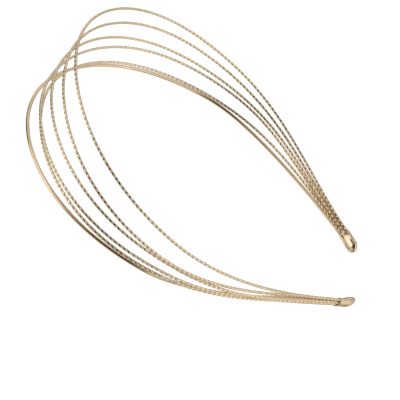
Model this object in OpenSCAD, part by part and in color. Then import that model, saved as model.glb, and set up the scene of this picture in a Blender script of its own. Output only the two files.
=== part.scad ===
// Wire headband lying on its front edge: six separate wires fan out over the crown,
// and a small rounded cap clamps their ends together on each side.
// X runs from the left cap to the right one, Y from the caps to the crown, Z up through the fan.

/* [Wires] */
// Radius of the one smooth wire, in mm
smooth_r = 0.7; // [0.5:0.05:0.7]
// Radius of the round form that each twisted wire fills, in mm
twisted_r = 0.6; // [0.4:0.05:0.6]
// Distance between two wires side by side in a cap, in mm
wire_pitch = 1.28; // [1.28:0.01:1.32]
// Length of wire end inside each cap, in mm
held_length = 5; // [3:0.5:5.5]

/* [Legs] */
// Half the distance between the mouths of the two caps, in mm
mouth_x = 20.1; // [15:0.1:30]
// How far the right cap sits towards the crown, and the left cap away from it, in mm
mouth_shift = 2.1; // [0:0.1:4]
// Angle by which each cap turns in towards the other at its mouth, in degrees
toe_in = 32.6; // [25:0.1:45]
// Angle by which the caps dip towards their tips, in degrees
tip_dip = 4.9; // [4:0.1:12]
// Half the width of the band at its widest place, before each wire's own reach, in mm
side_x = 57.4; // [50:0.1:70]

/* [Bends] */
// Pull of the curve sideways at the crown, as a share of the half width
crown_pull = 0.45; // [0.4:0.01:0.5]
// Pull of the curve above the widest place, as a share of the height left
upper_pull = 0.665; // [0.55:0.005:0.75]
// Slope of a wire at the widest place, as a share of its mean slope
slope_share = 1.05; // [0.9:0.01:1.2]

/* [End caps] */
// Length of a cap along its bent middle line, in mm
cap_length = 9.6; // [9:0.1:12]
// Radius to which a cap's middle line is bent towards the other cap, in mm
cap_bend_r = 28.5; // [20:0.5:60]
// Angle by which the top of each cap leans outwards, in degrees
cap_roll = 8.8; // [0:0.1:15]
// Half the width of a cap at its bulb, in mm
bulb_half_width = 2.8; // [2.8:0.05:3.2]
// Half the thickness of a cap at its bulb, in mm
bulb_half_thickness = 1.8; // [1.6:0.05:2.2]
// Thickness of a cap's sheet round the wires at its mouth, in mm
cap_wall = 0.14; // [0.12:0.01:0.2]
// Length of the straight neck before a cap swells, in mm
collar_length = 1.5; // [0:0.1:2]
// Length of the rounded end of a cap, in mm
dome_length = 4.6; // [3:0.1:5]

/* [Hidden] */
RIGHT = 1;
LEFT = -1;

// Columns of the wire table. The slot says where a cap holds the wire: towards the right or the left, and
// how high. Crown is the place of the top of its arch, and widest is where along Y it is widest. The last
// four stand in pairs, right before left. Reach widens the wire there, and lift is its height there as a
// share of the way to the crown. The pulls round off the curve below the widest place and where the wire
// leaves a cap, as shares of the height between them.
WIRE_R = 0;
SLOT_SIDE = 1;
SLOT_UP = 2;
CROWN_X = 3;
CROWN_Y = 4;
CROWN_Z = 5;
WIDEST_Y = 6;
REACH = 7;
LIFT = 9;
LOWER_PULL = 11;
MOUTH_PULL = 13;
wires = [
    // wire_r, side, up, crown_x, crown_y, crown_z, widest_y, reach, lift, lower_pull, mouth_pull
    [smooth_r, 0, -1.37, 0.1, 143.1, smooth_r, 76.3, -1.0, -1.3, 0.52, 0.50, 0.34, 0.31, 0.12, 0.08],
    [twisted_r, -0.5, -0.42, 4.3, 139.5, 3.4, 76.6, -1.6, -0.7, 0.51, 0.51, 0.37, 0.40, 0.49, 0.38],
    [twisted_r, 0.5, -0.42, 1.4, 141.5, 10.0, 79.1, 2.8, -0.3, 0.71, 0.45, 0.41, 0.44, 0.58, 0.55],
    [twisted_r, -0.5, 0.58, 2.6, 140.8, 18.6, 78.6, 0.6, -0.6, 0.56, 0.50, 0.47, 0.49, 0.46, 0.43],
    [twisted_r, 0.5, 0.58, -0.9, 139.9, 31.4, 77.4, 0.5, 1.3, 0.51, 0.37, 0.46, 0.35, 0.38, 0.42],
    [twisted_r, 0, 1.45, 1.2, 139.9, 40.5, 74.8, -0.5, -0.5, 0.495, 0.48, 0.44, 0.40, 0.32, 0.24]
];

// The value of a paired column on one side
function on_side(wire, column, side) = wire[column + (side == RIGHT ? 0 : 1)];

// Arcs in each span of a wire, and how neighbouring arcs close on one another:
// each runs a little into the next, and every second one is a hair thinner.
pieces = 3;
joint_lap = 0.2;
joint_step = 0.01;

// Half sizes of the bundle of wires in a cap, and of the pocket round it with a small gap
pocket_gap = 0.11;
bundle_half_width = max([for (wire = wires) abs(wire[SLOT_UP]) * wire_pitch + wire[WIRE_R]]);
bundle_half_thickness = max([for (wire = wires) abs(wire[SLOT_SIDE]) * wire_pitch + wire[WIRE_R]]);
pocket_half_width = bundle_half_width + pocket_gap;
pocket_half_thickness = bundle_half_thickness + pocket_gap;
pocket_depth = held_length + 0.3;
pocket_sides = 40;

// Rings and sides of a cap's skin, how its rings crowd towards the tip, its rounded mouth edge, the
// squareness of its oval section at the neck and at the bulb, and that of its rounded end seen from the side
cap_rings = 22;
cap_sides = 40;
ring_crowding = 1.6;
last_ring_share = 0.9985;
mouth_edge = 0.08;
neck_power = 1.8;
bulb_power = 2.2;
dome_power = 2.4;

// Directions at a cap's mouth: towards its tip, outwards from the head, and up through the fan
function mouth_tip_way(side) =
    [-side * sin(toe_in) * cos(tip_dip), -cos(toe_in) * cos(tip_dip), -sin(tip_dip)];
function mouth_out_way(side) = [side * cos(toe_in), -sin(toe_in), 0];
function up_way(side) = [-side * sin(toe_in) * sin(tip_dip), -cos(toe_in) * sin(tip_dip), cos(tip_dip)];

// A cap bends in towards the other one, so its directions turn with the distance from its mouth
function bend_turn(along) = along / cap_bend_r * 180 / PI;
function tip_way(side, along) =
    cos(bend_turn(along)) * mouth_tip_way(side) - sin(bend_turn(along)) * mouth_out_way(side);
function out_way(side, along) =
    cos(bend_turn(along)) * mouth_out_way(side) + sin(bend_turn(along)) * mouth_tip_way(side);
function axis_place(side, along) =
    cap_bend_r * sin(bend_turn(along)) * mouth_tip_way(side)
    - cap_bend_r * (1 - cos(bend_turn(along))) * mouth_out_way(side);

// A place in a cap, seen from the middle of its mouth: its distance along the cap, and how far outwards and
// upwards it is in the section, which leans by the roll
function cap_place(side, along, outwards, upwards) =
    axis_place(side, along)
    + (outwards * cos(cap_roll) + upwards * sin(cap_roll)) * out_way(side, along)
    + (upwards * cos(cap_roll) - outwards * sin(cap_roll)) * up_way(side);

// Growth of a cap from its neck to its bulb, and its rounding at the tip, at a distance from the mouth
function ease(share) = share * share * (3 - 2 * share);
function swell(along) =
    ease(min(1, max(0, along - collar_length) / (cap_length - dome_length - collar_length)));
function rounding(along) =
    let (past = max(0, along - (cap_length - dome_length)) / dome_length)
    pow(max(0, 1 - pow(past, dome_power)), 1 / dome_power);
function edge_cut(along) = mouth_edge * (1 - sqrt(1 - pow(max(0, 1 - along / mouth_edge), 2)));
function half_size(along, neck, bulb) =
    (neck + (bulb - neck) * swell(along)) * rounding(along) - edge_cut(along);

// Rings of a cap: three over the mouth's rounded edge, the rest closer together towards the tip
function ring_place(ring) =
    ring < 3 ? mouth_edge * (1 - cos(45 * ring))
    : mouth_edge + (last_ring_share * cap_length - mouth_edge)
        * (1 - pow(1 - (ring - 2) / (cap_rings - 3), ring_crowding));

// A ring of a cap's skin: an oval that is fuller at the bulb than at the neck
function oval_part(value, power) = sign(value) * pow(abs(value), 2 / power);
function skin_ring(side, ring) =
    let (
        along = ring_place(ring),
        power = neck_power + (bulb_power - neck_power) * swell(along),
        thick = half_size(along, pocket_half_thickness + cap_wall, bulb_half_thickness),
        wide = half_size(along, pocket_half_width + cap_wall, bulb_half_width)
    ) [for (index = [0:cap_sides - 1])
        let (angle = 360 * index / cap_sides)
        cap_place(side, along, thick * oval_part(cos(angle), power), wide * oval_part(sin(angle), power))];

// The caps stand on the surface at their lowest point, which sets the height of their mouths
left_skin = [for (ring = [0:cap_rings - 1]) each skin_ring(LEFT, ring)];
mouth_z = -min([for (place = left_skin) place[2]]);

// The middle of the whole band, which is the origin in X and Y
crown_end = max([for (wire = wires) wire[CROWN_Y] + wire[WIRE_R]]);
tip_end = -mouth_shift + min([for (place = left_skin) place[1]]);
middle_y = (crown_end + tip_end) / 2;
widest_right = max([for (wire = wires) on_side(wire, REACH, RIGHT) + wire[WIRE_R]]);
widest_left = max([for (wire = wires) on_side(wire, REACH, LEFT) + wire[WIRE_R]]);
middle_x = (widest_right - widest_left) / 2;
origin = [middle_x, middle_y, 0];

// Places on a wire's route: the mouth of a cap, the widest place of a side, and the crown
function mouth_middle(side) = [side * mouth_x, side * mouth_shift, mouth_z] - origin;
function held_place(wire, side, along) =
    mouth_middle(side)
    + cap_place(side, along, side * wire_pitch * wire[SLOT_SIDE], wire_pitch * wire[SLOT_UP]);
function mouth_place(wire, side) = held_place(wire, side, 0);
function crown_place(wire) = [wire[CROWN_X], wire[CROWN_Y], wire[CROWN_Z]] - origin;
function reach(wire, side) = side_x + on_side(wire, REACH, side);
function rise(wire, side) = wire[CROWN_Z] - mouth_place(wire, side)[2];
function side_place(wire, side) =
    let (height = mouth_place(wire, side)[2] + on_side(wire, LIFT, side) * rise(wire, side))
    [side * reach(wire, side), wire[WIDEST_Y], height] - origin;
function side_way(wire, side) = [0, 1, slope_share * rise(wire, side) / wire[CROWN_Y]];

// The two spans of a side, each with two pulled points between its ends
function upper_span(wire, side) =
    let (
        crown = crown_place(wire),
        widest = side_place(wire, side),
        height = crown[1] - widest[1]
    ) [
        crown,
        crown + [side * crown_pull * reach(wire, side), 0, 0],
        widest + upper_pull * height * side_way(wire, side),
        widest
    ];
function lower_span(wire, side) =
    let (
        widest = side_place(wire, side),
        mouth = mouth_place(wire, side),
        height = wire[WIDEST_Y] - side * mouth_shift
    ) [
        widest,
        widest - on_side(wire, LOWER_PULL, side) * height * side_way(wire, side),
        mouth - on_side(wire, MOUTH_PULL, side) * height * mouth_tip_way(side),
        mouth
    ];

// A place and a direction on a span, at a share of the way along it
function span_place(span, share) =
    let (left = 1 - share)
    left * left * left * span[0] + 3 * left * left * share * span[1]
    + 3 * left * share * share * span[2] + share * share * share * span[3];
function span_way(span, share) =
    let (
        left = 1 - share,
        way = left * left * (span[1] - span[0]) + 2 * left * share * (span[2] - span[1])
            + share * share * (span[3] - span[2])
    ) way / norm(way);

// A station on a span, as [place, direction]. Its direction runs down a span of the right side and up one of
// the left side.
function station(span, share, side) = [span_place(span, share), side * span_way(span, share)];

// The stations of a wire from the left cap's mouth over the crown to the right one's
function shares_down() = [for (step = [1:pieces]) step / pieces];
function shares_up() = [for (step = [0:pieces - 1]) 1 - step / pieces];
function stations(wire) = [
    for (share = shares_up()) station(lower_span(wire, LEFT), share, LEFT),
    for (share = shares_up()) station(upper_span(wire, LEFT), share, LEFT),
    [crown_place(wire), [1, 0, 0]],
    for (share = shares_down()) station(upper_span(wire, RIGHT), share, RIGHT),
    for (share = shares_down()) station(lower_span(wire, RIGHT), share, RIGHT)
];

// Two arcs join two stations. They meet halfway between the ends of two equal tangents.
function tangent_length(from, to) =
    let (
        gap = to[0] - from[0],
        along = gap * (from[1] + to[1]),
        spread = 2 * (1 - from[1] * to[1])
    ) gap * gap / (along + sqrt(along * along + spread * gap * gap));
function meeting_place(from, to) =
    let (reach = tangent_length(from, to)) (from[0] + reach * from[1] + to[0] - reach * to[1]) / 2;

// The direction in which an arc leaves, when it starts in one direction and crosses a chord
function leaving_way(way, chord) = 2 * (way * chord) / (chord * chord) * chord - way;

// A round rod along an arc that starts in a direction and ends at a place, and a little past it
module arc_rod(start, end, way, radius) {
    chord = end - start;
    normal = cross(way, chord) / norm(cross(way, chord));
    inward = cross(normal, way);
    arc_r = chord * chord / (2 * chord * inward);
    sweep = 2 * asin(norm(chord) / 2 / arc_r) + joint_lap / arc_r * 180 / PI;
    turn = [atan2(way[2], normal[2]), asin(inward[2]), atan2(-inward[1], -inward[0])];
    translate(start + arc_r * inward)
        rotate(turn)
            rotate_extrude(angle = sweep, $fn = 180)
                translate([arc_r, 0])
                    circle(r = radius, $fn = 32);
}

// One whole wire: an end held in the left cap, a chain of arcs, and an end held in the right cap
module wire_route(wire) {
    route = stations(wire);
    thin_r = wire[WIRE_R] - joint_step;
    left_end = held_place(wire, LEFT, held_length);
    right_end = held_place(wire, RIGHT, held_length);
    union() {
        arc_rod(left_end, mouth_place(wire, LEFT), -tip_way(LEFT, held_length), thin_r);
        for (index = [0:len(route) - 2]) {
            from = route[index];
            to = route[index + 1];
            meeting = meeting_place(from, to);
            arc_rod(from[0], meeting, from[1], wire[WIRE_R]);
            arc_rod(meeting, to[0], leaving_way(from[1], meeting - from[0]), thin_r);
        }
        arc_rod(mouth_place(wire, RIGHT), right_end, mouth_tip_way(RIGHT), wire[WIRE_R]);
    }
}

// The faces of a cap's skin, seen from outside. The left cap is a mirror form, so its faces run backwards.
function ring_faces(ring) = [
    for (index = [0:cap_sides - 1])
        let (low = ring * cap_sides, next = (index + 1) % cap_sides)
        each [
            [low + index, low + cap_sides + index, low + cap_sides + next],
            [low + index, low + cap_sides + next, low + next]
        ]
];
function backwards(face) = [for (index = [len(face) - 1:-1:0]) face[index]];
function skin_faces(side) =
    let (
        last = (cap_rings - 1) * cap_sides,
        tip = cap_rings * cap_sides,
        faces = [
            [for (index = [0:cap_sides - 1]) index],
            for (ring = [0:cap_rings - 2]) each ring_faces(ring),
            for (index = [0:cap_sides - 1]) [last + index, tip, last + (index + 1) % cap_sides]
        ]
    ) side == RIGHT ? faces : [for (face = faces) backwards(face)];

// The closed skin of a cap, from its mouth to its tip
module cap_skin(side) {
    tip = cap_place(side, cap_length, 0, 0);
    points = [for (ring = [0:cap_rings - 1]) each skin_ring(side, ring), tip];
    polyhedron(points = points, faces = skin_faces(side), convexity = 4);
}

// The pocket in a cap's mouth: an oval that follows the cap's bend, from a little before the mouth
module cap_pocket(side) {
    way = mouth_tip_way(side);
    inward = -mouth_out_way(side);
    normal = cross(way, inward);
    lead = bend_turn(1);
    section = [for (index = [0:pocket_sides - 1])
        let (angle = 360 * index / pocket_sides)
        [
            pocket_half_thickness * oval_part(cos(angle), neck_power),
            pocket_half_width * oval_part(sin(angle), neck_power)
        ]];
    translate(cap_bend_r * inward)
        rotate([atan2(way[2], normal[2]), asin(inward[2]), atan2(-inward[1], -inward[0])])
            rotate([0, 0, -lead])
                rotate_extrude(angle = lead + bend_turn(pocket_depth), $fn = 180)
                    translate([cap_bend_r, 0])
                        rotate(side * cap_roll)
                            polygon(section);
}

// A cap in its place on one side
module end_cap(side) {
    translate(mouth_middle(side))
        difference() {
            cap_skin(side);
            cap_pocket(side);
        }
}

module smooth_wire() {
    color([0.93, 0.82, 0.68])
        wire_route(wires[0]);
}

module twisted_wire_1() {
    color([0.86, 0.74, 0.60])
        wire_route(wires[1]);
}

module twisted_wire_2() {
    color([0.86, 0.74, 0.60])
        wire_route(wires[2]);
}

module twisted_wire_3() {
    color([0.86, 0.74, 0.60])
        wire_route(wires[3]);
}

module twisted_wire_4() {
    color([0.86, 0.74, 0.60])
        wire_route(wires[4]);
}

module twisted_wire_5() {
    color([0.86, 0.74, 0.60])
        wire_route(wires[5]);
}

module right_end_cap() {
    color([0.90, 0.80, 0.66])
        end_cap(RIGHT);
}

module left_end_cap() {
    color([0.90, 0.80, 0.66])
        end_cap(LEFT);
}

smooth_wire();
twisted_wire_1();
twisted_wire_2();
twisted_wire_3();
twisted_wire_4();
twisted_wire_5();
right_end_cap();
left_end_cap();
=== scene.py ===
"""Wire headband: one smooth and five twisted gold-tone wires, held in a small cap on each side."""

import logging
import math
from dataclasses import dataclass, field
from enum import Enum

import bmesh
import bpy
import numpy as np
from mathutils import Matrix, Vector

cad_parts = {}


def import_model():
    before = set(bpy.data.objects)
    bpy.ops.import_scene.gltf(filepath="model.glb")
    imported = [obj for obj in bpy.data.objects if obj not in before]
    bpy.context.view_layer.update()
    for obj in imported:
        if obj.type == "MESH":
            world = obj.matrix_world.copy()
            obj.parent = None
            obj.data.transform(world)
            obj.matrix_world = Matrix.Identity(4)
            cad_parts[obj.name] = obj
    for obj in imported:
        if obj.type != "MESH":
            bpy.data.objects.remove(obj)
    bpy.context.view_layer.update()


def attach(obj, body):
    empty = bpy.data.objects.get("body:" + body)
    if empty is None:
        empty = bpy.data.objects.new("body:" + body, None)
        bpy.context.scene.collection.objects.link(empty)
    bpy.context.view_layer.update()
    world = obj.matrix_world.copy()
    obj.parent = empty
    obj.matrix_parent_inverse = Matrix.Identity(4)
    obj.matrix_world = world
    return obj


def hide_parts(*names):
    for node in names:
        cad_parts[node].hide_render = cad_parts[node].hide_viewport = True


log = logging.getLogger("headband")

BODY = "root"
MM = 0.001
FULL_TURN = 2.0 * math.pi
Triple = tuple[float, float, float]


class Side(Enum):
    """The two sides of the band, with the sign of X on each."""

    RIGHT = 1
    LEFT = -1


# Shader maths


class Shade:
    """A socket of a shader tree, on which arithmetic adds Math nodes."""

    def __init__(self, tree: bpy.types.NodeTree, socket: bpy.types.NodeSocket) -> None:
        """Keeps a tree and one of its output sockets.

        Args:
            tree: The node tree that new nodes go into.
            socket: The output socket that stands for this value.
        """
        self.tree = tree
        self.socket = socket

    def _math(self, operation: str, *values: "Shade | float") -> "Shade":
        """Adds a Math node.

        Args:
            operation: The node's operation.
            values: Its inputs, as shades or numbers.

        Returns:
            The node's result.
        """
        node = self.tree.nodes.new("ShaderNodeMath")
        node.operation = operation
        for place, value in enumerate(values):
            if isinstance(value, Shade):
                self.tree.links.new(value.socket, node.inputs[place])
            else:
                node.inputs[place].default_value = value
        return Shade(self.tree, node.outputs[0])

    def __add__(self, other: "Shade | float") -> "Shade":
        """Returns the sum."""
        return self._math("ADD", self, other)

    __radd__ = __add__

    def __sub__(self, other: "Shade | float") -> "Shade":
        """Returns the difference."""
        return self._math("SUBTRACT", self, other)

    def __rsub__(self, other: float) -> "Shade":
        """Returns a number less this value."""
        return self._math("SUBTRACT", other, self)

    def __mul__(self, other: "Shade | float") -> "Shade":
        """Returns the product."""
        return self._math("MULTIPLY", self, other)

    __rmul__ = __mul__

    def clamp(self) -> "Shade":
        """Returns this value kept between 0 and 1."""
        return self._math("MINIMUM", self._math("MAXIMUM", self, 0.0), 1.0)

    def power(self, exponent: float) -> "Shade":
        """Returns this value raised to a power."""
        return self._math("POWER", self, exponent)

    def size(self) -> "Shade":
        """Returns this value without its sign."""
        return self._math("ABSOLUTE", self)

    def arc(self, base: "Shade") -> "Shade":
        """Returns the angle whose sine and cosine go as this value and the base."""
        return self._math("ARCTAN2", self, base)


@dataclass
class ShaderBench:
    """A material's tree, with one method that adds any node."""

    tree: bpy.types.NodeTree

    def node(self, kind: str, settings: dict[str, object] | None = None,
             values: dict[int | str, object] | None = None, out: int | str = 0) -> Shade:
        """Adds a node, sets it, and joins its sockets.

        Args:
            kind: The node's type.
            settings: Its own settings, set first.
            values: Numbers, colours or shades by socket name.
            out: The output that is wanted.

        Returns:
            The wanted output.
        """
        node = self.tree.nodes.new(kind)
        for name, value in (settings or {}).items():
            setattr(node, name, value)
        for name, value in (values or {}).items():
            if isinstance(value, Shade):
                self.tree.links.new(value.socket, node.inputs[name])
            else:
                node.inputs[name].default_value = value
        return Shade(self.tree, node.outputs[out])

    def noise(self, place: Shade, scale: float, detail: float) -> Shade:
        """Returns a noise from 0 to 1, with its scale in waves per metre."""
        values = {"Vector": place, "Scale": scale, "Detail": detail}
        return self.node("ShaderNodeTexNoise", values=values)

    def dot(self, vector: Shade, fixed: Triple) -> Shade:
        """Returns how far a vector goes along a fixed direction."""
        settings = {"operation": "DOT_PRODUCT"}
        return self.node("ShaderNodeVectorMath", settings, {0: vector, 1: fixed}, "Value")

    def ramp(self, value: Shade, low: float, high: float) -> Shade:
        """Rises smoothly from nought at one value to one at another.

        Args:
            value: The value looked at.
            low: Where the ramp is nought.
            high: Where it is one, above or below the first.

        Returns:
            The share.
        """
        settings = {"interpolation_type": "SMOOTHSTEP"}
        values = {"Value": value, "From Min": low, "From Max": high}
        return self.node("ShaderNodeMapRange", settings, values)

    def fade(self, angle: Shade, reach: float, blur: float) -> Shade:
        """Fades from one within a reach to nought past it.

        Args:
            angle: The angle from the middle, in radians.
            reach: The half width, in degrees.
            blur: How wide the edge is, in degrees.

        Returns:
            The share.
        """
        return self.ramp(angle, math.radians(reach + blur / 2.0), math.radians(reach - blur / 2.0))

    def blend(self, factor: Shade | float, low: object, high: object) -> Shade:
        """Mixes two colours.

        Args:
            factor: The share of the second one.
            low: The first colour, as a shade or four numbers.
            high: The second one.

        Returns:
            The mixed colour.
        """
        colour_inputs = {0: factor, 6: low, 7: high}
        return self.node("ShaderNodeMix", {"data_type": "RGBA"}, colour_inputs, 2)


# Finishes


@dataclass(frozen=True)
class GoldPlate:
    """Pale gold plate over metal, with warmer thin places and with fine and broad unevenness.

    The scales are in waves per metre, and the depths are in metres. A groove is pressed round a
    piece that has an attribute named along: its middle and reach are in millimetres.
    """

    name: str
    colour: Triple
    warm: Triple
    roughness: float
    roughness_spread: float
    grain: float
    swell: float
    swell_depth: float
    grain_depth: float = 0.000001
    cloud: float = 90.0
    cloud_start: float = 0.42
    cloud_gain: float = 3.0
    groove_middle: float = 2.2
    groove_reach: float = 0.8
    groove_depth: float = 0.0

    def material(self) -> bpy.types.Material:
        """Makes the material.

        Returns:
            The new material, all procedural.
        """
        material = bpy.data.materials.new(self.name)
        material.use_nodes = True
        tree = material.node_tree
        tree.nodes.clear()
        bench = ShaderBench(tree)
        place = bench.node("ShaderNodeTexCoord", out="Object")
        fine = bench.noise(place, self.grain, 3.0)
        cloud = bench.noise(place, self.cloud, 2.0)
        warmth = ((cloud - self.cloud_start) * self.cloud_gain).clamp()
        height = bench.noise(place, self.swell, 1.0) * self.swell_depth + fine * self.grain_depth
        if self.groove_depth:
            along = bench.node("ShaderNodeAttribute", {"attribute_name": "along"}, out="Fac")
            off = (along - self.groove_middle).size()
            height = height + bench.ramp(off, self.groove_reach, 0.0) * -self.groove_depth
        relief = {"Height": height, "Strength": 1.0, "Distance": 1.0}
        surface = bench.node("ShaderNodeBsdfPrincipled", values={
            "Base Color": bench.blend(warmth, (*self.colour, 1.0), (*self.warm, 1.0)),
            "Roughness": self.roughness + (fine - 0.5) * self.roughness_spread,
            "Normal": bench.node("ShaderNodeBump", values=relief),
            "Metallic": 1.0,
        })
        out = tree.nodes.new("ShaderNodeOutputMaterial")
        tree.links.new(surface.socket, out.inputs["Surface"])
        return material


# Paths of the wires


@dataclass(frozen=True)
class WireRow:
    """One wire's sizes, in millimetres and shares. Its pairs are for the right and the left."""

    node: str
    radius: float
    slot_side: float
    slot_up: float
    crown: Triple
    widest_y: float
    reach: tuple[float, float]
    lift: tuple[float, float]
    lower_pull: tuple[float, float]
    mouth_pull: tuple[float, float]


@dataclass
class BandShape:
    """The band's common sizes, in millimetres, and the routes that its wires follow."""

    mouth_x: float = 20.1
    mouth_shift: float = 2.1
    mouth_z: float = 3.2542
    toe_in: float = math.radians(32.6)
    tip_dip: float = math.radians(4.9)
    cap_bend_r: float = 28.5
    cap_roll: float = math.radians(8.8)
    side_x: float = 57.4
    wire_pitch: float = 1.28
    held_length: float = 5.0
    crown_pull: float = 0.45
    upper_pull: float = 0.665
    slope_share: float = 1.05
    steps_per_span: int = 240
    steps_held: int = 23
    middle: Triple = (0.75, 67.0737, 0.0)
    rows: tuple[WireRow, ...] = (
        WireRow("smooth_wire", 0.7, 0, -1.37, (0.1, 143.1, 0.7), 76.3,
                (-1.0, -1.3), (0.52, 0.50), (0.34, 0.31), (0.12, 0.08)),
        WireRow("twisted_wire_1", 0.6, -0.5, -0.42, (4.3, 139.5, 3.4), 76.6,
                (-1.6, -0.7), (0.51, 0.51), (0.37, 0.40), (0.49, 0.38)),
        WireRow("twisted_wire_2", 0.6, 0.5, -0.42, (1.4, 141.5, 10.0), 79.1,
                (2.8, -0.3), (0.71, 0.45), (0.41, 0.44), (0.58, 0.55)),
        WireRow("twisted_wire_3", 0.6, -0.5, 0.58, (2.6, 140.8, 18.6), 78.6,
                (0.6, -0.6), (0.56, 0.50), (0.47, 0.49), (0.46, 0.43)),
        WireRow("twisted_wire_4", 0.6, 0.5, 0.58, (-0.9, 139.9, 31.4), 77.4,
                (0.5, 1.3), (0.51, 0.37), (0.46, 0.35), (0.38, 0.42)),
        WireRow("twisted_wire_5", 0.6, 0, 1.45, (1.2, 139.9, 40.5), 74.8,
                (-0.5, -0.5), (0.495, 0.48), (0.44, 0.40), (0.32, 0.24)),
    )

    def tip_way(self, side: Side) -> np.ndarray:
        """Works out the direction at a cap's mouth towards its tip.

        Args:
            side: The side of the band.

        Returns:
            The direction, one long.
        """
        inwards, onwards = -side.value * math.sin(self.toe_in), -math.cos(self.toe_in)
        level, drop = math.cos(self.tip_dip), -math.sin(self.tip_dip)
        return np.array([inwards * level, onwards * level, drop])

    def out_way(self, side: Side) -> np.ndarray:
        """Returns the direction across a cap's mouth, away from the head."""
        return np.array([side.value * math.cos(self.toe_in), -math.sin(self.toe_in), 0.0])

    def up_way(self, side: Side) -> np.ndarray:
        """Works out the direction across a cap, up through the fan.

        Args:
            side: The side of the band.

        Returns:
            The direction, one long.
        """
        inwards, onwards = -side.value * math.sin(self.toe_in), -math.cos(self.toe_in)
        lean, level = math.sin(self.tip_dip), math.cos(self.tip_dip)
        return np.array([inwards * lean, onwards * lean, level])

    def mouth(self, side: Side) -> np.ndarray:
        """Returns the middle of a cap's mouth."""
        place = np.array([side.value * self.mouth_x, side.value * self.mouth_shift, self.mouth_z])
        return place - self.middle

    def cap_places(self, side: Side, along: np.ndarray, outwards: np.ndarray,
                   upwards: np.ndarray) -> np.ndarray:
        """Places points of a cap, which is bent in towards the other one and leans by its roll.

        Args:
            side: The side of the band.
            along: Distances from the mouth along the cap.
            outwards: Distances across its section, away from the head.
            upwards: Distances across its section, up through the fan.

        Returns:
            The points, in millimetres.
        """
        tip, out, up = self.tip_way(side), self.out_way(side), self.up_way(side)
        turn = along[:, None] / self.cap_bend_r
        axis = self.cap_bend_r * (np.sin(turn) * tip - (1.0 - np.cos(turn)) * out)
        away = np.cos(turn) * out + np.sin(turn) * tip
        across = outwards * math.cos(self.cap_roll) + upwards * math.sin(self.cap_roll)
        rise = upwards * math.cos(self.cap_roll) - outwards * math.sin(self.cap_roll)
        return self.mouth(side) + axis + across[:, None] * away + rise[:, None] * up

    def held_places(self, row: WireRow, side: Side, along: np.ndarray) -> np.ndarray:
        """Places points of a wire's middle line inside a cap.

        Args:
            row: The wire's sizes.
            side: The side of the band.
            along: Distances from the cap's mouth.

        Returns:
            The points, in millimetres.
        """
        outwards = np.full(along.shape, side.value * self.wire_pitch * row.slot_side)
        upwards = np.full(along.shape, self.wire_pitch * row.slot_up)
        return self.cap_places(side, along, outwards, upwards)

    def _spans(self, row: WireRow, side: Side) -> list[np.ndarray]:
        """Works out the two curved spans of one side of a wire.

        Args:
            row: The wire's sizes.
            side: The side of the band.

        Returns:
            Two sets of four control points, from the crown down to the cap's mouth.
        """
        sign = side.value
        index = 0 if side is Side.RIGHT else 1
        mouth = self.held_places(row, side, np.zeros(1))[0]
        crown = np.array(row.crown) - self.middle
        reach = self.side_x + row.reach[index]
        rise = row.crown[2] - mouth[2]
        widest_z = mouth[2] + row.lift[index] * rise
        widest = np.array([sign * reach, row.widest_y, widest_z]) - self.middle
        slope = np.array([0.0, 1.0, self.slope_share * rise / row.crown[1]])
        above = crown[1] - widest[1]
        below = row.widest_y - sign * self.mouth_shift
        upper = np.array([
            crown,
            crown + np.array([sign * self.crown_pull * reach, 0.0, 0.0]),
            widest + self.upper_pull * above * slope,
            widest,
        ])
        lower = np.array([
            widest,
            widest - row.lower_pull[index] * below * slope,
            mouth - row.mouth_pull[index] * below * self.tip_way(side),
            mouth,
        ])
        return [upper, lower]

    def route(self, row: WireRow) -> np.ndarray:
        """Works out a wire's middle line from its end in the left cap to its end in the right one.

        Args:
            row: The wire's sizes.

        Returns:
            The points, in metres.
        """
        share = np.linspace(0.0, 1.0, self.steps_per_span + 1)[:, None]
        halves = []
        for side in (Side.LEFT, Side.RIGHT):
            line = [np.zeros((0, 3))]
            for span in self._spans(row, side):
                left = 1.0 - share
                curve = (
                    left**3 * span[0] + 3 * left**2 * share * span[1]
                    + 3 * left * share**2 * span[2] + share**3 * span[3]
                )
                line.append(curve[1:])
            held = np.linspace(0.0, self.held_length, self.steps_held + 1)[1:]
            line.append(self.held_places(row, side, held))
            halves.append(np.vstack(line))
        crown = (np.array(row.crown) - self.middle)[None]
        return np.vstack([halves[0][::-1], crown, halves[1]]) * MM


# Geometry node trees


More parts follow.
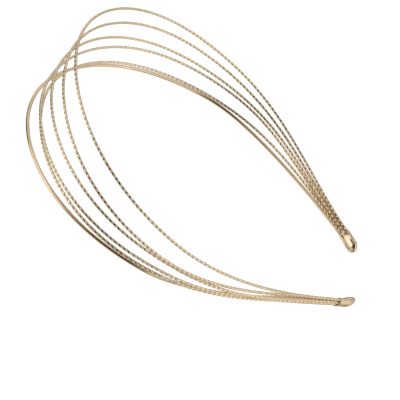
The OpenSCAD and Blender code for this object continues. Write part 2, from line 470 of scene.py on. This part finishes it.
@dataclass
class TreeMaker:
    """A geometry node tree under construction, with named inputs."""

    name: str
    tree: bpy.types.NodeTree = field(init=False)
    start: bpy.types.Node = field(init=False)
    end: bpy.types.Node = field(init=False)

    def __post_init__(self) -> None:
        """Makes the empty tree with its geometry sockets."""
        self.tree = bpy.data.node_groups.new(self.name, "GeometryNodeTree")
        face = self.tree.interface
        face.new_socket("Geometry", in_out="INPUT", socket_type="NodeSocketGeometry")
        face.new_socket("Geometry", in_out="OUTPUT", socket_type="NodeSocketGeometry")
        self.start = self.tree.nodes.new("NodeGroupInput")
        self.end = self.tree.nodes.new("NodeGroupOutput")

    def entry(self, name: str, kind: str) -> bpy.types.NodeSocket:
        """Adds a named input.

        Args:
            name: The input's name.
            kind: Its socket type.

        Returns:
            The socket that gives its value inside the tree.
        """
        self.tree.interface.new_socket(name, in_out="INPUT", socket_type=kind)
        return self.start.outputs[name]

    def add(self, kind: str, settings: dict[str, object] | None = None,
            values: dict[int | str, object] | None = None) -> bpy.types.Node:
        """Adds a node.

        Args:
            kind: The node's type.
            settings: Its own settings, set first.
            values: Numbers or sockets by the name or place of its inputs.

        Returns:
            The new node.
        """
        node = self.tree.nodes.new(kind)
        for name, value in (settings or {}).items():
            setattr(node, name, value)
        for name, value in (values or {}).items():
            if isinstance(value, bpy.types.NodeSocket):
                self.tree.links.new(value, node.inputs[name])
            else:
                node.inputs[name].default_value = value
        return node

    def math(self, operation: str, *values: object) -> bpy.types.NodeSocket:
        """Adds a Math node and returns its result."""
        node = self.add("ShaderNodeMath", {"operation": operation}, dict(enumerate(values)))
        return node.outputs[0]

    def scaled(self, vector: bpy.types.NodeSocket,
               factor: bpy.types.NodeSocket) -> bpy.types.NodeSocket:
        """Adds a Vector Math node and returns a vector times a factor."""
        values = {0: vector, "Scale": factor}
        return self.add("ShaderNodeVectorMath", {"operation": "SCALE"}, values).outputs[0]

    def finish(self, geometry: bpy.types.NodeSocket,
               material: bpy.types.NodeSocket) -> bpy.types.NodeTree:
        """Ends the tree in real geometry with its material.

        Args:
            geometry: The finished form.
            material: The material input.

        Returns:
            The tree.
        """
        real = self.add("GeometryNodeRealizeInstances", values={"Geometry": geometry}).outputs[0]
        values = {"Geometry": real, "Material": material}
        dressed = self.add("GeometryNodeSetMaterial", values=values).outputs[0]
        self.tree.links.new(dressed, self.end.inputs[0])
        return self.tree


def bar_tree() -> bpy.types.NodeTree:
    """Makes the tree that draws a bar along a path, twisted about its own middle.

    Its section is a rounded square: a squareness of 2 is a circle, and more is flatter.

    Returns:
        The tree.
    """
    maker = TreeMaker("bar_on_path")
    half = maker.entry("Half Side", "NodeSocketFloat")
    squareness = maker.entry("Squareness", "NodeSocketFloat")
    lay = maker.entry("Lay", "NodeSocketFloat")
    turn = maker.entry("Start Turn", "NodeSocketFloat")
    stations = maker.entry("Stations", "NodeSocketInt")
    sides = maker.entry("Sides", "NodeSocketInt")
    material = maker.entry("Material", "NodeSocketMaterial")

    points = maker.start.outputs["Geometry"]
    path = maker.add("GeometryNodeMeshToCurve", values={"Mesh": points}).outputs[0]
    counted = {"Curve": path, "Count": stations}
    even = maker.add("GeometryNodeResampleCurve", values=counted).outputs[0]
    flat = maker.add("GeometryNodeSetCurveNormal", {"mode": "MINIMUM_TWIST"}, {"Curve": even})
    along = maker.add("GeometryNodeSplineParameter").outputs["Length"]
    turns = maker.math("ADD", maker.math("DIVIDE", along, lay), turn)
    wound = maker.add("GeometryNodeSetCurveTilt", values={
        "Curve": flat.outputs[0],
        "Tilt": maker.math("MULTIPLY", turns, FULL_TURN),
    })
    circle = {"Resolution": sides, "Radius": 1.0}
    ring = maker.add("GeometryNodeCurvePrimitiveCircle", values=circle)
    place = maker.add("GeometryNodeInputPosition").outputs[0]
    split = maker.add("ShaderNodeSeparateXYZ", values={0: place})
    powers = [
        maker.math("POWER", maker.math("ABSOLUTE", split.outputs[axis]), squareness)
        for axis in (0, 1)
    ]
    root = maker.math("DIVIDE", -1.0, squareness)
    pull = maker.math("POWER", maker.math("ADD", *powers), root)
    section = maker.add("GeometryNodeSetPosition", values={
        "Geometry": ring.outputs[0],
        "Position": maker.scaled(place, maker.math("MULTIPLY", pull, half)),
    })
    tube = maker.add("GeometryNodeCurveToMesh", values={
        "Curve": wound.outputs[0],
        "Profile Curve": section.outputs[0],
        "Fill Caps": True,
    })
    smooth = maker.add("GeometryNodeSetShadeSmooth", values={"Geometry": tube.outputs[0]})
    return maker.finish(smooth.outputs[0], material)


def apply_tree(name: str, points: np.ndarray, tree: bpy.types.NodeTree,
               values: dict[str, object]) -> bpy.types.Object:
    """Runs a tree on a path and keeps the result as a plain mesh.

    Args:
        name: The finished piece's name.
        points: The path's points, in metres.
        tree: The geometry node tree.
        values: The tree's inputs by name.

    Returns:
        The finished piece, at the origin.
    """
    mesh = bpy.data.meshes.new(name + "_path")
    mesh.from_pydata([tuple(p) for p in points], [(i, i + 1) for i in range(len(points) - 1)], [])
    source = bpy.data.objects.new(name + "_path", mesh)
    bpy.context.scene.collection.objects.link(source)
    modifier = source.modifiers.new("shape", "NODES")
    modifier.node_group = tree
    for item in tree.interface.items_tree:
        if item.in_out == "INPUT" and item.name in values:
            modifier[item.identifier] = values[item.name]
    bpy.context.view_layer.update()
    evaluated = source.evaluated_get(bpy.context.evaluated_depsgraph_get())
    result = bpy.data.meshes.new_from_object(evaluated)
    result.name = name
    source.modifiers.clear()
    bpy.data.objects.remove(source)
    bpy.data.meshes.remove(mesh)
    piece = bpy.data.objects.new(name, result)
    bpy.context.scene.collection.objects.link(piece)
    return piece


# Sub-assemblies


@dataclass
class WireFan:
    """The six wires, one smooth and round and five of a twisted square bar.

    The lay is the length of one turn of the twist, in millimetres as half_side is. Each wire's
    twist starts a share of a turn, turn_step, after that of the wire before it.
    """

    shape: BandShape
    smooth: GoldPlate
    twisted: GoldPlate
    lay: float = 8.2
    half_side: float = 0.5
    squareness: float = 4.5
    turn_step: float = 0.17
    bar_sides: int = 28
    stations_per_turn: int = 40
    rod_sides: int = 40
    rod_stations: int = 700

    def build(self) -> list[bpy.types.Object]:
        """Makes every wire over its node.

        Returns:
            The finished pieces.
        """
        tree = bar_tree()
        plain = self.smooth.material()
        corded = self.twisted.material()
        pieces = []
        for index, row in enumerate(self.shape.rows):
            points = self.shape.route(row)
            length = float(np.linalg.norm(np.diff(points, axis=0), axis=1).sum())
            if row.node == "smooth_wire":
                values = {
                    "Half Side": row.radius * MM, "Squareness": 2.0, "Lay": 1.0, "Start Turn": 0.0,
                    "Stations": self.rod_stations, "Sides": self.rod_sides, "Material": plain,
                }
            else:
                turns = length / (self.lay * MM)
                values = {
                    "Half Side": self.half_side * MM, "Squareness": self.squareness,
                    "Lay": self.lay * MM, "Start Turn": self.turn_step * index,
                    "Stations": int(turns * self.stations_per_turn), "Sides": self.bar_sides,
                    "Material": corded,
                }
            piece = apply_tree(row.node + "_bar", points, tree, values)
            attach(piece, BODY)
            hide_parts(row.node)
            pieces.append(piece)
            faces = len(piece.data.polygons)
            log.info("%s: %.0f mm long, %d faces", row.node, length / MM, faces)
        return pieces


@dataclass
class EndCap:
    """A rounded cap that grips the six wire ends, with a pocket in its mouth.

    Sizes are in millimetres. Pairs are the half thickness and the half width.
    """

    shape: BandShape
    side: Side
    finish: bpy.types.Material
    length: float = 9.6
    bulb: tuple[float, float] = (1.8, 2.8)
    neck: tuple[float, float] = (1.49, 2.706)
    collar: float = 1.5
    dome: float = 4.6
    lip: float = 0.08
    pocket: tuple[float, float] = (1.35, 2.566)
    pocket_start: float = 0.05
    pocket_depth: float = 5.3
    neck_power: float = 1.8
    bulb_power: float = 2.2
    dome_power: float = 2.4
    lip_rings: int = 6
    rings: int = 56
    around: int = 72

    def _swell(self, along: float) -> float:
        """Returns the share of the way from the neck to the bulb, at a distance from the mouth."""
        share = min(1.0, max(0.0, along - self.collar) / (self.length - self.dome - self.collar))
        return share * share * (3.0 - 2.0 * share)

    def _half_sizes(self, along: float) -> tuple[float, float]:
        """Works out the skin's half thickness and half width at a distance from the mouth.

        Args:
            along: The distance, in millimetres.

        Returns:
            The two half sizes.
        """
        swell_end = self.length - self.dome
        past = max(0.0, along - swell_end) / self.dome
        rounding = max(0.0, 1.0 - past**self.dome_power) ** (1.0 / self.dome_power)
        cut = self.lip * (1.0 - math.sqrt(max(0.0, 1.0 - max(0.0, 1.0 - along / self.lip) ** 2)))
        swell = self._swell(along)
        thick, wide = (n + (b - n) * swell for n, b in zip(self.neck, self.bulb))
        return thick * rounding - cut, wide * rounding - cut

    def _ring(self, sizes: tuple[float, float], along: float, power: float) -> list[Triple]:
        """Makes one ring of points in the cap's own frame.

        Args:
            sizes: Half thickness and half width.
            along: Distance from the mouth.
            power: The squareness of the oval.

        Returns:
            The ring's points.
        """
        ring = []
        for index in range(self.around):
            angle = FULL_TURN * index / self.around
            x, y = math.cos(angle), math.sin(angle)
            ring.append((
                sizes[0] * math.copysign(abs(x) ** (2.0 / power), x),
                sizes[1] * math.copysign(abs(y) ** (2.0 / power), y),
                along,
            ))
        return ring

    def _skin_ring(self, along: float) -> list[Triple]:
        """Makes one ring of the skin.

        Args:
            along: Distance from the mouth.

        Returns:
            The ring's points.
        """
        change = self.bulb_power - self.neck_power
        power = self.neck_power + change * self._swell(along)
        return self._ring(self._half_sizes(along), along, power)

    def _rings(self) -> list[list[Triple]]:
        """Makes the rings from the pocket's floor out over the lip and on to the tip.

        Returns:
            The rings, in that order.
        """
        quarter = math.pi / 2.0
        rings = [
            self._ring(self.pocket, along, self.neck_power)
            for along in (self.pocket_depth, self.pocket_start)
        ]
        for step in range(self.lip_rings):
            along = self.lip * (1.0 - math.cos(quarter * step / self.lip_rings))
            rings.append(self._skin_ring(along))
        for step in range(1, self.rings):
            along = self.lip + (self.length - self.lip) * math.sin(quarter * step / self.rings)
            rings.append(self._skin_ring(along))
        return rings

    def _faces(self, ring_count: int) -> list[tuple[int, ...]]:
        """Joins the rings, and closes the tip and the pocket's floor with a point each.

        Args:
            ring_count: How many rings there are.

        Returns:
            The faces, by the numbers of their points.
        """
        faces: list[tuple[int, ...]] = []
        for start in range(0, (ring_count - 1) * self.around, self.around):
            for index in range(self.around):
                a, b = start + index, start + (index + 1) % self.around
                faces.append((a, b, b + self.around, a + self.around))
        last = (ring_count - 1) * self.around
        tip = ring_count * self.around
        for index in range(self.around):
            after = (index + 1) % self.around
            faces.append((last + index, last + after, tip))
            faces.append((after, index, tip + 1))
        return faces

    def build(self) -> bpy.types.Object:
        """Makes the cap over its node.

        Returns:
            The finished piece.
        """
        rings = self._rings()
        points = [point for ring in rings for point in ring]
        points += [(0.0, 0.0, self.length), (0.0, 0.0, self.pocket_depth)]
        outwards, upwards, along = np.array(points).T
        placed = self.shape.cap_places(self.side, along, outwards, upwards) * MM
        name = ("right" if self.side is Side.RIGHT else "left") + "_end_cap"
        mesh = bpy.data.meshes.new(name + "_shell")
        mesh.from_pydata([tuple(p) for p in placed], [], self._faces(len(rings)))
        mesh.shade_smooth()
        mesh.attributes.new("along", "FLOAT", "POINT").data.foreach_set("value", along)
        mesh.materials.append(self.finish)
        piece = bpy.data.objects.new(name + "_shell", mesh)
        bpy.context.scene.collection.objects.link(piece)
        self._face_outwards(mesh)
        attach(piece, BODY)
        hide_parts(name)
        log.info("%s: %d faces", name, len(mesh.polygons))
        return piece

    @staticmethod
    def _face_outwards(mesh: bpy.types.Mesh) -> None:
        """Turns every face outwards.

        Args:
            mesh: The closed mesh to mend.
        """
        work = bmesh.new()
        work.from_mesh(mesh)
        bmesh.ops.recalc_face_normals(work, faces=work.faces)
        work.to_mesh(mesh)
        work.free()


# Studio


def grey(level: float) -> Triple:
    """Returns a neutral colour."""
    return (level, level, level)


@dataclass(frozen=True)
class Panel:
    """A soft lamp: where it stands, what it faces, its size and its strength."""

    name: str
    place: Triple
    aim: Triple
    size: tuple[float, float]
    power: float
    colour: Triple = grey(1.0)


@dataclass(frozen=True)
class Screen:
    """A lit or dark screen in the tent round the object, in degrees, with soft edges.

    Its bearing is counted from +Y towards +X, and its height from the horizon. Its half width and
    half height reach to the middle of its soft edges, which are as wide as the two blurs.
    """

    bearing: float
    height: float
    half_width: float
    half_height: float
    side_blur: float
    edge_blur: float
    colour: Triple

    def share(self, bench: ShaderBench, way: Shade) -> Shade:
        """Works out where the screen is seen.

        Args:
            bench: The world's tree.
            way: The direction looked in.

        Returns:
            One on the screen and nought off it.
        """
        turn = math.radians(self.bearing)
        ahead = (math.sin(turn), math.cos(turn), 0.0)
        aside = (math.cos(turn), -math.sin(turn), 0.0)
        forward = bench.dot(way, ahead)
        sideways = bench.dot(way, aside)
        rise = bench.dot(way, (0.0, 0.0, 1.0))
        off_side = sideways.arc(forward).size()
        off_height = (rise.arc((1.0 - rise * rise).power(0.5)) - math.radians(self.height)).size()
        return (
            bench.fade(off_side, self.half_width, self.side_blur)
            * bench.fade(off_height, self.half_height, self.edge_blur)
        )


@dataclass
class Studio:
    """A pale floor, a soft lamp, a tent of lit and dark screens, and the camera.

    The camera has its place and its own three axes. A later screen covers an earlier one.
    """

    place: Triple = (-0.47115, 0.09331, 0.40233)
    right: Triple = (0.2211, -0.8594, 0.4611)
    up: Triple = (0.6251, 0.4877, 0.6094)
    back: Triple = (-0.7486, 0.1535, 0.6450)
    view_angle: float = math.radians(14.79)
    view_reach: float = 50.0
    floor_size: float = 6.0
    floor_colour: Triple = grey(0.4)
    floor_roughness: float = 0.9
    floor_glow: float = 0.85
    panels: tuple[Panel, ...] = (
        Panel("lamp_over", (0.0, 0.0, 1.6), (0.0, 0.0, 0.0), (2.4, 2.4), 4.0),
    )
    tent: Triple = grey(0.64)
    screens: tuple[Screen, ...] = (
        Screen(-134.0, 44.0, 37.0, 39.0, 28.0, 30.0, grey(1.0)),
        Screen(-108.0, -30.0, 37.0, 32.0, 27.0, 30.0, grey(0.34)),
        Screen(31.0, 10.0, 34.0, 56.0, 30.0, 18.0, grey(0.64)),
        Screen(-10.0, -4.0, 21.0, 60.0, 4.0, 5.0, grey(1.0)),
        Screen(-74.0, 43.0, 28.0, 50.0, 16.0, 6.0, (0.04, 0.03, 0.022)),
        Screen(79.0, 72.0, 38.0, 11.0, 12.0, 5.0, (0.02, 0.016, 0.012)),
        Screen(94.0, 27.0, 6.0, 32.0, 4.0, 5.0, (0.03, 0.025, 0.02)),
        Screen(110.0, 39.0, 15.0, 10.0, 9.0, 4.0, grey(1.4)),
        Screen(26.0, -17.0, 19.0, 28.0, 13.0, 10.0, (0.03, 0.026, 0.022)),
        Screen(116.0, -7.0, 16.0, 23.0, 10.0, 8.0, (0.18, 0.16, 0.14)),
        Screen(-12.0, -40.0, 12.0, 14.0, 8.0, 8.0, (0.55, 0.53, 0.48)),
        Screen(-31.0, 2.0, 13.0, 17.0, 6.0, 6.0, grey(1.4)),
        Screen(-32.0, 42.0, 11.0, 12.0, 6.0, 6.0, (0.07, 0.05, 0.035)),
        Screen(-31.0, -41.0, 11.0, 8.0, 6.0, 6.0, (0.1, 0.085, 0.07)),
        Screen(135.0, 41.0, 10.0, 11.0, 6.0, 6.0, (0.28, 0.24, 0.2)),
        Screen(-166.0, -14.0, 14.0, 10.0, 10.0, 8.0, grey(0.9)),
        Screen(176.0, -46.0, 12.0, 7.0, 8.0, 6.0, (0.3, 0.26, 0.21)),
        Screen(164.0, 10.0, 8.0, 8.0, 8.0, 8.0, (0.5, 0.47, 0.42)),
        Screen(-147.0, 6.0, 3.0, 12.0, 3.0, 6.0, grey(1.8)),
    )

    def build(self) -> None:
        """Makes the camera, the floor, the lamp and the tent's light."""
        self._camera()
        self._floor()
        for panel in self.panels:
            self._lamp(panel)
        self._room()
        bpy.context.scene.view_settings.view_transform = "Standard"

    def _camera(self) -> None:
        """Places the camera as the picture was taken."""
        data = bpy.data.cameras.new("camera")
        data.sensor_fit = "HORIZONTAL"
        data.angle = self.view_angle
        data.clip_end = self.view_reach
        camera = bpy.data.objects.new("camera", data)
        axes = Matrix((self.right, self.up, self.back)).transposed().to_4x4()
        camera.matrix_world = Matrix.Translation(self.place) @ axes
        bpy.context.scene.collection.objects.link(camera)
        bpy.context.scene.camera = camera

    def _floor(self) -> None:
        """Lays the pale floor."""
        half = self.floor_size / 2.0
        corners = [(-half, -half, 0), (half, -half, 0), (half, half, 0), (-half, half, 0)]
        mesh = bpy.data.meshes.new("floor")
        mesh.from_pydata(corners, [], [(0, 1, 2, 3)])
        floor = bpy.data.objects.new("floor", mesh)
        bpy.context.scene.collection.objects.link(floor)
        material = bpy.data.materials.new("pale_floor")
        material.use_nodes = True
        surface = material.node_tree.nodes["Principled BSDF"]
        surface.inputs["Base Color"].default_value = (*self.floor_colour, 1.0)
        surface.inputs["Roughness"].default_value = self.floor_roughness
        surface.inputs["Emission Color"].default_value = (1.0, 1.0, 1.0, 1.0)
        surface.inputs["Emission Strength"].default_value = self.floor_glow
        mesh.materials.append(material)
        floor.visible_glossy = False

    def _lamp(self, panel: Panel) -> None:
        """Hangs a soft lamp.

        Args:
            panel: The lamp's place, aim, size and strength.
        """
        data = bpy.data.lights.new(panel.name, "AREA")
        data.shape = "RECTANGLE"
        data.size, data.size_y = panel.size
        data.energy = panel.power
        data.color = panel.colour
        lamp = bpy.data.objects.new(panel.name, data)
        way = Vector(panel.aim) - Vector(panel.place)
        facing = way.to_track_quat("-Z", "Y").to_matrix().to_4x4()
        lamp.matrix_world = Matrix.Translation(panel.place) @ facing
        lamp.visible_glossy = False
        bpy.context.scene.collection.objects.link(lamp)

    def _room(self) -> None:
        """Puts a pale tent round the object, with its brighter and darker patches."""
        world = bpy.data.worlds.new("tent")
        bpy.context.scene.world = world
        world.use_nodes = True
        bench = ShaderBench(world.node_tree)
        way = bench.node("ShaderNodeTexCoord", out="Generated")
        colour: object = (*self.tent, 1.0)
        for screen in self.screens:
            colour = bench.blend(screen.share(bench, way), colour, (*screen.colour, 1.0))
        background = world.node_tree.nodes["Background"]
        world.node_tree.links.new(colour.socket, background.inputs["Color"])


def main() -> None:
    """Builds the headband over its frame, then the studio."""
    logging.basicConfig(level=logging.INFO, format="%(name)s: %(message)s")
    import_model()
    shape = BandShape()
    polished = GoldPlate(
        "polished_gold", colour=(0.89, 0.70, 0.475), warm=(0.87, 0.66, 0.41),
        roughness=0.06, roughness_spread=0.03, grain=900.0, swell=160.0, swell_depth=0.0001,
    )
    corded = GoldPlate(
        "corded_gold", colour=(0.89, 0.725, 0.50), warm=(0.87, 0.675, 0.43),
        roughness=0.07, roughness_spread=0.04, grain=1500.0, swell=380.0, swell_depth=0.0002,
    )
    capped = GoldPlate(
        "cap_gold", colour=(0.88, 0.70, 0.485), warm=(0.86, 0.66, 0.42),
        roughness=0.05, roughness_spread=0.03, grain=700.0, swell=330.0, swell_depth=0.0001,
        groove_depth=0.00004,
    )
    WireFan(shape, polished, corded).build()
    cap_finish = capped.material()
    for side in Side:
        EndCap(shape, side, cap_finish).build()
    Studio().build()


if __name__ == "__main__":
    main()
